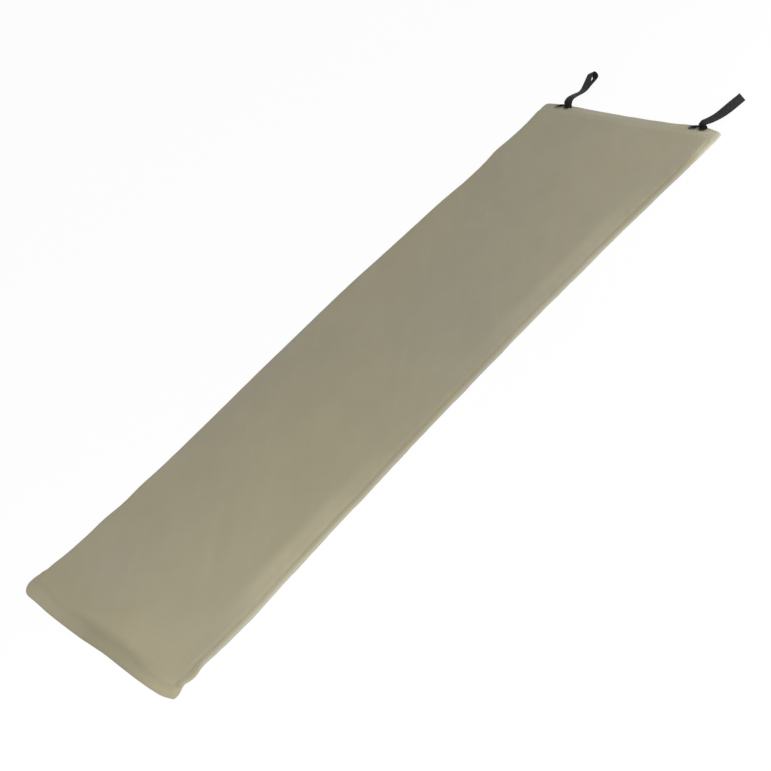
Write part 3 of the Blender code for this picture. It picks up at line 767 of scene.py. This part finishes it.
def settle(piece, slack, cap):
    """Let Blender's cloth relax a sheet that was cut slightly too large, and keep what rises off the pad.

    The bond attribute is how firmly each point is held, from 0 to 1. No point moves further than the
    cap, and none sinks below where it started, because the pad is there.
    """
    start = read_mesh(piece.data.vertices, "co", 3)
    bond = read_mesh(piece.data.attributes["bond"].data, "value", 1)[:, 0]
    levels = np.round(bond * BOND_LEVELS)
    group = piece.vertex_groups.new(name="bonded")
    for level in range(BOND_LEVELS + 1):
        group.add(np.flatnonzero(levels == level).tolist(), level / BOND_LEVELS, "REPLACE")
    cloth = piece.modifiers.new("relax", "CLOTH")
    for name, value in CLOTH.items():
        setattr(cloth.settings, name, value)
    cloth.settings.vertex_group_mass = group.name
    cloth.settings.shrink_min = -slack
    cloth.settings.effector_weights.gravity = 0.0
    cloth.collision_settings.use_collision = False
    scene = bpy.context.scene
    for number in range(1, CLOTH_FRAMES + 1):
        scene.frame_set(number)
    settled = piece.evaluated_get(bpy.context.evaluated_depsgraph_get())
    step = read_mesh(settled.data.vertices, "co", 3) - start
    piece.modifiers.remove(cloth)
    scene.frame_set(1)
    step *= np.minimum(1.0, cap / np.maximum(np.linalg.norm(step, axis=1), 1e-9))[:, None]
    step[:, 2] = np.maximum(step[:, 2], 0.0)
    piece.data.vertices.foreach_set("co", (start + step).astype(np.float32).ravel())
    piece.data.update()
    piece.vertex_groups.clear()


def make_sheet(name, node, side, material, settings):
    """The cover's top or underside: one sheet from edge to edge, with holes for the eyelets."""
    # Columns and rows lie closer together within about 80 mm of the edges
    beside_seam = [SEAM_COLUMNS[-1] + 0.0024 * k for k in range(1, 36)]
    columns = spaced([*SEAM_COLUMNS, *beside_seam], HALF_WIDTH, 0.0075)
    rows = spaced([0.0022 * k for k in range(36)], HALF_LENGTH, 0.0064)
    x, y = np.meshgrid(columns, rows)
    x, y = round_corners(widened(x, y), y, HALF_WIDTH, HALF_LENGTH, CORNER_RADII)
    z, hem, inward, at_end = cover_points(x, y, side, settings)
    attributes = cover_shades(x, y, hem, inward, at_end)
    held = 0.12 + 0.40 * eased(inward / 0.075) + 0.30 * at_end
    attributes["bond"] = np.where(inward > 0.002, held, 1.0)
    x, y = snapped_to_holes(*laid(x, y))
    piece = add_surface(name, np.stack([x, y, z], -1), rows, columns, material, facing=(0, 0, side),
                        keep=lambda at_x, at_y: eyelet_distance(at_x, at_y) > HOLE, attributes=attributes)
    if side > 0:
        settle(piece, settings.slack, settings.rise)
    solidify = piece.modifiers.new("fabric_thickness", "SOLIDIFY")
    solidify.thickness = FABRIC
    solidify.offset = -1.0
    solidify.use_even_offset = False
    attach(piece, "mat")
    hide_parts(node)
    return piece


def make_foam(material, settings):
    """The foam pad: an upper and a lower surface that meet all round at the seam, inside the sheets."""
    depth = FABRIC + GAP
    half_x = HALF_WIDTH - SIDE_STRIP - depth
    half_y = HALF_LENGTH - FAR_HEM - depth
    # Columns and rows lie closer together towards the rim, where the pad is steep
    ease = np.sin(np.linspace(-pi / 2, pi / 2, 61))
    columns = np.sign(ease) * (1 - (1 - np.abs(ease)) ** 1.5) * half_x
    lead = 1 - np.linspace(0.0, 1.0, 9)[:-1] ** 2 * 0.02
    rows = np.concatenate([-lead, np.linspace(-0.98, 0.98, 200), lead[::-1]])
    x, y = np.meshgrid(columns, rows * half_y)
    x, y = round_corners(x, y, half_x, half_y, PAD_RADII)
    y = y + (curve_through(NEAR_HEM, x) - FAR_HEM) * eased((0.16 - (y + half_y)) / 0.11)
    x = x - (curve_through(RIGHT_STRIP, y) - SIDE_STRIP) * eased(x / (0.85 * half_x))
    layers = []
    for side in (1, -1):
        z, _, inward, _ = cover_points(x, y, side, settings, depth)
        z[inward <= depth] = z[[0, -1]] = z[:, [0, -1]] = SEAM_HEIGHT
        layers.append(np.stack([*laid(x, y), z], -1).reshape(-1, 3))
    r, c = quads(*x.shape)
    upper = r * x.shape[1] + c
    uv = np.stack([columns[c], rows[r] * HALF_LENGTH], -1)
    points = np.concatenate(layers)
    faces, corner_uv = turned_out(points, np.concatenate([upper, (upper + x.size)[:, ::-1]]),
                                  np.concatenate([uv, uv[:, ::-1]]))
    piece = add_mesh("foam_pad", points, faces, corner_uv, material)
    shape = bmesh.new()
    shape.from_mesh(piece.data)
    bmesh.ops.remove_doubles(shape, verts=shape.verts, dist=1e-6)
    shape.to_mesh(piece.data)
    shape.free()
    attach(piece, "mat")
    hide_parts("foam_core")
    return piece


def pair_point(pair_x, across, along, off):
    """World place of a point given in an eyelet pair's own axes: across, along the hem and off it."""
    return np.stack([pair_x + across, EYELET_Y + along * HEM_COS + off * HEM_SIN,
                     EYELET_Z - along * HEM_SIN + off * HEM_COS], -1)


def make_turned(name, node, profile, centre_x, material, steps=96):
    """A ring turned about an eyelet's axis from a closed profile of (radius, height) points."""
    radius, height = np.array(profile).T
    angle = 2 * pi * np.arange(steps)[:, None] / steps
    across = np.cos(angle) * radius
    grid = pair_point(centre_x, across, np.sin(angle) * radius, np.broadcast_to(height, across.shape))
    arc = 2 * pi * radius.mean() * np.arange(steps + 1) / steps
    piece = add_surface(name, grid, arc, path_lengths(np.array(profile + profile[:1])), material)
    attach(piece, "mat")
    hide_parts(node)
    return piece


def half_round(x, y, radius):
    """Points of a half circle that bulges outwards, from its top round to its bottom."""
    turn = pi / 2 - pi * np.arange(13) / 12
    return [(x + radius * cos(a), y + radius * sin(a)) for a in turn]


def barrel_outline(settings):
    """Half section of an eyelet: a domed flange, the bore, and a lip rolled out under the washer."""
    bore = settings.bore / 2
    barrel = bore + settings.wall
    rim = settings.rim / 2
    seat = FABRIC + GAP / 2 + GAP
    below = seat + settings.washer + GAP
    middle, span = (rim + bore) / 2, (rim - bore) / 2
    flange = [(middle - span * cos(a), seat + settings.rise * sin(a) ** 0.8)
              for a in pi * np.arange(19) / 18]
    lip, roll, bevel = 0.0013, 0.0004, 0.0002
    return (flange + [(rim - 0.0003, seat - 0.0001), (rim - 0.0012, seat), (barrel + bevel, seat)]
            + [(barrel, seat - bevel), (barrel, bevel - below), (barrel + bevel, -below)]
            + half_round(barrel + lip - roll, -below - roll, roll)
            + [(bore + 0.0004, -below - 2 * roll), (bore, -below - roll)])


def washer_outline(settings):
    """Half section of a washer: a flat ring, raised to a bead at its outer edge."""
    hole = settings.bore / 2 + settings.wall + GAP
    rim = settings.rim / 2
    top = -(FABRIC + GAP / 2 + GAP)
    bottom = top - settings.washer
    half = settings.washer / 2
    bead = half_round(rim - half, top - half, half)
    return bead + [(rim - 0.002, bottom), (hole, bottom), (hole, top), (rim - 0.002, top)]


def smooth_closed(rows, count):
    """Closed Catmull-Rom curve through rows of numbers, read at evenly spaced lengths of its first three."""
    p0, p1, p2, p3 = (np.roll(rows, shift, 0)[:, None, :] for shift in (1, 0, -1, -2))
    t = np.linspace(0.0, 1.0, 16, endpoint=False)[None, :, None]
    fine = 0.5 * (2 * p1 + (p2 - p0) * t + (2 * p0 - 5 * p1 + 4 * p2 - p3) * t ** 2
                  + (3 * p1 - p0 - 3 * p2 + p3) * t ** 3)
    fine = fine.reshape(-1, rows.shape[1])
    fine = np.vstack([fine, fine[:1]])
    lengths = path_lengths(fine[:, :3])
    return read_along(fine, lengths, lengths[-1] * np.arange(count) / count), lengths[-1]


def across_path(width, forward):
    """Width directions made square to the path."""
    return unit(width - forward * np.sum(width * forward, 1)[:, None])


def route_frame(side_name):
    """Middle line of a loop, its direction, the direction of the webbing's width, and the length so far."""
    route = ROUTES[side_name]
    middle = np.array(HINGES[side_name + "_loop"]) + route[:, :3] / 1000
    forward = unit(np.gradient(middle, axis=0))
    turn = np.radians(route[:, 3:4])
    level = unit(np.cross(forward, (0.0, 0.0, 1.0)))
    width = level * np.cos(turn) - np.cross(level, forward) * np.sin(turn)
    return middle, forward, width, path_lengths(middle)


def strap_controls(side_name, settings):
    """Rows of place, width direction, half width and pleat depth, once round the whole strap.

    The upper ply goes out along the loop's route and the lower ply comes back, half a gap to each
    side, joined by a round nose. Between them the strap goes through its two eyelets.
    """
    middle, forward, width, lengths = route_frame(side_name)
    normal = np.cross(forward, width)
    half_gap = (settings.thickness + ROUTES[side_name][:, 4:5] / 1000) / 2
    half_width = settings.width / 2 * (1 + 0.09 * (1 - eased(lengths / 0.016)))
    pleat = 0.0002 * (1 - eased(lengths / 0.014))
    out, back = (np.column_stack([middle + sign * normal * half_gap, width, half_width, pleat])
                 for sign in (-1, 1))
    turn = np.radians([[-50.0], [0.0], [50.0]])
    reach = half_gap[-1] * 0.5 + 0.0012
    place = middle[-1] + forward[-1] * reach * np.cos(turn) + normal[-1] * half_gap[-1] * np.sin(turn)
    nose = np.hstack([place, np.tile([*width[-1], half_width[-1], 0.0], (3, 1))])

    pair_x = (EYELETS[side_name + "_outer"] + EYELETS[side_name + "_inner"]) / 2
    place = pair_point(pair_x, *(ANCHOR_ROUTE[:, :3].T / 1000))
    turn = ANCHOR_ROUTE[:, 5:6] * pi / 2
    turned = [np.sin(turn), np.cos(turn) * HEM_COS, -np.cos(turn) * HEM_SIN]
    through = np.hstack([place, *turned, ANCHOR_ROUTE[:, 3:5] / 1000])
    return np.vstack([out, nose, back[::-1], through])


def strap_section():
    """Shares of the half width and half thickness round the webbing's cross-section, with round selvedges."""
    across = np.sin(np.linspace(-1.0, 1.0, 15) * 1.45) / sin(1.45) * 0.985
    upper, lower = [(v, 1.0) for v in across], [(v, -1.0) for v in across[::-1]]
    return np.array(upper + [(1.0, 0.45), (1.0, -0.45)] + lower + [(-1.0, -0.45), (-1.0, 0.45)])


def make_strap(side_name, material, settings):
    """One webbing strap: a flat band carried along its closed path, gathered in pleats where it is narrow."""
    rows, total = smooth_closed(strap_controls(side_name, settings), STRAP_ROWS)
    place = rows[:, None, :3]
    forward = unit(np.roll(rows[:, :3], -1, 0) - np.roll(rows[:, :3], 1, 0))
    width = across_path(rows[:, 3:6], forward)
    across, level = strap_section().T
    rise = settings.thickness / 2 * level + rows[:, 7:8] * np.cos(across * pi * 3.0)
    grid = (place + width[:, None, :] * (rows[:, 6:7] * across)[:, :, None]
            + np.cross(forward, width)[:, None, :] * rise[:, :, None])
    along = total * np.arange(STRAP_ROWS + 1) / STRAP_ROWS
    edge = np.append(across, across[0]) * settings.width / 2
    piece = add_surface(side_name + "_webbing_strap", grid, along, edge, material)
    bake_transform(piece)
    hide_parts("strap_anchor_" + side_name, "strap_loop_" + side_name)
    return piece


def stitch_places():
    """Start and end of each stitch as distance along the loop and share of the half width.

    Two close zigzags cross the webbing, and a row of stitches runs along each edge between them.
    """
    stitches = []
    step = 2 * TACK_REACH / TACK_STITCHES
    for start in TACKS:
        for k in range(TACK_STITCHES):
            slant = TACK_SLANT if k % 2 else -TACK_SLANT
            share = step * k - TACK_REACH
            stitches.append((start - slant, share, start + slant, share + step))
    for share in (-TACK_REACH, TACK_REACH):
        for place in EDGE_STITCHES:
            stitches.append((place, share, place + EDGE_STITCH, share))
    return stitches


def make_stitching(side_name, material, settings):
    """Threads on both faces of the sewn plies, each a small round arch that dips in at its ends."""
    middle, _, width, lengths = route_frame(side_name)
    sewn = np.linspace(0.0, 0.07, 71)
    centre = read_along(middle, lengths, sewn)
    ahead = unit(np.gradient(centre, axis=0))
    side = across_path(read_along(width, lengths, sewn), ahead)
    face = np.cross(ahead, side)
    t = np.linspace(0.0, 1.0, THREAD_RINGS)
    level = settings.thickness + 0.0001 + THREAD_ARCH * np.sin(pi * t) - THREAD_SINK
    swell = THREAD_RADIUS * np.sqrt(np.maximum(1 - (2 * t - 1) ** 4, 0.02))
    angle = (2 * pi * np.arange(THREAD_SIDES) / THREAD_SIDES)[None, :, None]
    threads = []
    for start, start_share, end, end_share in stitch_places():
        base, wide, out = (read_along(rows, sewn, start + (end - start) * t) for rows in (centre, side, face))
        share = (start_share + (end_share - start_share) * t)[:, None]
        for up in (out, -out):
            line = base + wide * share * settings.width / 2 + up * level[:, None]
            flank = np.cross(unit(np.gradient(line, axis=0)), up)
            ring = flank[:, None, :] * np.cos(angle) + up[:, None, :] * np.sin(angle)
            threads.append(line[:, None, :] + ring * swell[:, None, None])

    count = len(threads)
    points = np.array(threads).reshape(-1, 3)
    r, c = quads(THREAD_RINGS, THREAD_SIDES, close_columns=True)
    caps = np.array([[0, 1, 2, 3], [0, 3, 4, 5]])
    thread = np.concatenate([r * THREAD_SIDES + c % THREAD_SIDES, caps[:, ::-1],
                             caps + (THREAD_RINGS - 1) * THREAD_SIDES])
    first = np.arange(count)[:, None, None] * THREAD_RINGS * THREAD_SIDES
    uv = np.concatenate([np.stack([c * 0.0002, r * 0.0003], -1), np.zeros((4, 4, 2))])
    faces, corner_uv = turned_out(points, (thread + first).reshape(-1, 4), np.tile(uv, (count, 1, 1)))
    piece = add_mesh(side_name + "_strap_stitching", points, faces, corner_uv, material)
    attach(piece, side_name + "_loop")
    return piece


def make_floor():
    """A pale floor that looks white to the camera and keeps the mat's soft shadow."""
    corners = np.array([(-1, -1, 0), (1, -1, 0), (1, 1, 0), (-1, 1, 0)]) * FLOOR_REACH - (0, 0, FLOOR_GAP)
    shader = Shader("pale_floor", {"Base Color": (0.86, 0.86, 0.86), "Roughness": 0.9})
    white = shader.add("ShaderNodeEmission", None, {"Color": (1.0, 1.0, 1.0), "Strength": 1.0})
    floor_or_white = shader.add("ShaderNodeMixShader", None, {
        0: shader.background_seen() * FLOOR_WHITE, 1: Socket(shader, shader.surface.outputs[0]), 2: white})
    shader.feed(shader.tree.nodes["Material Output"].inputs["Surface"], floor_or_white)
    floor = add_mesh("studio_floor", corners, np.array([[0, 1, 2, 3]]), corners[None, :, :2], shader.owner)


def put(name, data, place, right, back):
    """Link a lamp or a camera at a place, with its right side and its back turned in these directions."""
    item = bpy.data.objects.new(name, data)
    bpy.context.scene.collection.objects.link(item)
    turn = Matrix((right, back.cross(right), back)).transposed().to_4x4()
    item.matrix_world = Matrix.Translation(place) @ turn
    return item


def add_lamp(name, place, aim, power, tint):
    """A soft rectangular lamp that faces its aim, its longer side along the mat."""
    lamp = bpy.data.lights.new(name, "AREA")
    lamp.shape = "RECTANGLE"
    lamp.size, lamp.size_y = LAMP_SIZE
    lamp.energy = power
    lamp.color = tint
    back = (Vector(place) - Vector(aim)).normalized()
    right = Vector((0.0, 1.0, 0.0)).cross(back).normalized()
    put(name, lamp, place, right, back).visible_camera = False


def add_camera():
    """Camera at the photograph's viewpoint, worked out from the mat's edges: its angles, aim and lens."""
    azimuth, elevation, roll = (radians(angle) for angle in (61.094, 37.175, -26.427))
    aim, distance = Vector((0.0666, -0.0904, 0.0)), 3.0577
    level = Vector((cos(azimuth), sin(azimuth), 0.0))
    back = Vector((level.y * cos(elevation), -level.x * cos(elevation), sin(elevation)))
    right = level * cos(roll) + back.cross(level) * sin(roll)
    data = bpy.data.cameras.new("photo_camera")
    data.lens = 65.21
    bpy.context.scene.camera = put("photo_camera", data, aim + back * distance, right, back)


class SLEEPING_MAT_OT_foam(Operator):
    """Build the foam pad between the sheets"""

    bl_idname = "sleeping_mat.foam"
    bl_label = "Foam pad"

    def execute(self, context):
        foam = make_foam(foam_material(context.scene.mat_finish.foam), context.scene.mat_cover)
        return {"FINISHED"}


class SLEEPING_MAT_OT_cover(Operator):
    """Build the cover's two sheets, bonded in a hem round the pad"""

    bl_idname = "sleeping_mat.cover"
    bl_label = "Cover"

    def execute(self, context):
        finish = context.scene.mat_finish
        for name, node, side, tint, hem in (
                ("top_fabric", "top_sheet", 1, finish.fabric, finish.hem),
                ("underside_fabric", "bottom_sheet", -1, finish.underside, shaded(finish.hem, 0.85))):
            material = fabric_material("coated_" + name, tint, hem, finish)
            sheet = make_sheet(name, node, side, material, context.scene.mat_cover)
        return {"FINISHED"}


class SLEEPING_MAT_OT_eyelets(Operator):
    """Build the eyelets and their washers"""

    bl_idname = "sleeping_mat.eyelets"
    bl_label = "Eyelets"

    def execute(self, context):
        settings = context.scene.mat_eyelets
        finish = context.scene.mat_finish
        # Lit and shaded copies of the metal: the left pair painted lighter for the light it catches
        metals = {"left": metal_material("worn_metal", finish.worn_metal),
                  "right": metal_material("blackened_metal", finish.metal)}
        for name, centre in EYELETS.items():
            metal = metals[name.split("_")[0]]
            for part, node, outline in (("_eyelet_barrel", "eyelet_", barrel_outline),
                                        ("_eyelet_washer", "washer_", washer_outline)):
                ring = make_turned(name + part, node + name, outline(settings), centre, metal)
        return {"FINISHED"}


class SLEEPING_MAT_OT_straps(Operator):
    """Build the two webbing straps and their stitching"""

    bl_idname = "sleeping_mat.straps"
    bl_label = "Straps"

    def execute(self, context):
        settings = context.scene.mat_straps
        tint = context.scene.mat_finish.webbing
        webbing, thread = webbing_material(tint), thread_material(tint)
        for side_name in ROUTES:
            strap = make_strap(side_name, webbing, settings)
            stitching = make_stitching(side_name, thread, settings)
        return {"FINISHED"}


class SLEEPING_MAT_OT_stage(Operator):
    """Add the floor, the lights and the camera"""

    bl_idname = "sleeping_mat.stage"
    bl_label = "Stage"

    def execute(self, context):
        settings = context.scene.mat_stage
        make_floor()
        add_camera()
        for name, (place, aim, tint) in LAMPS.items():
            add_lamp(name + "_lamp", place, aim, getattr(settings, name), tint)
        context.scene.world = bpy.data.worlds.new("studio")
        sky = Shader("studio", {"Color": (1.0, 1.0, 1.0)}, context.scene.world)
        sky.set({"Strength": sky.background_seen() * (WORLD_WHITE - settings.sky) + settings.sky})
        context.scene.view_settings.view_transform = "Standard"
        return {"FINISHED"}


class SLEEPING_MAT_PT_panel(Panel):
    bl_label = "Sleeping Mat"
    bl_idname = "SLEEPING_MAT_PT_panel"
    bl_space_type = "VIEW_3D"
    bl_region_type = "UI"
    bl_category = "Sleeping Mat"

    def draw(self, context):
        for operator, group in zip(OPERATORS, GROUPS):
            box = self.layout.box()
            box.operator(operator.bl_idname)
            settings = getattr(context.scene, group)
            for name in settings.__annotations__:
                box.prop(settings, name)


OPERATORS = (SLEEPING_MAT_OT_foam, SLEEPING_MAT_OT_cover, SLEEPING_MAT_OT_eyelets,
             SLEEPING_MAT_OT_straps, SLEEPING_MAT_OT_stage)
GROUPS = {"mat_finish": FinishSettings, "mat_cover": CoverSettings, "mat_eyelets": EyeletSettings,
          "mat_straps": StrapSettings, "mat_stage": StageSettings}
CLASSES = (*GROUPS.values(), *OPERATORS, SLEEPING_MAT_PT_panel)


def register():
    for item in CLASSES:
        bpy.utils.register_class(item)
    for name, group in GROUPS.items():
        setattr(bpy.types.Scene, name, PointerProperty(type=group))


def unregister():
    for name in GROUPS:
        delattr(bpy.types.Scene, name)
    for item in reversed(CLASSES):
        bpy.utils.unregister_class(item)


def main():
    """Build every piece and the stage."""
    register()
    bpy.ops.sleeping_mat.foam()
    bpy.ops.sleeping_mat.cover()
    bpy.ops.sleeping_mat.eyelets()
    bpy.ops.sleeping_mat.straps()
    bpy.ops.sleeping_mat.stage()


if __name__ == "__main__":
    main()
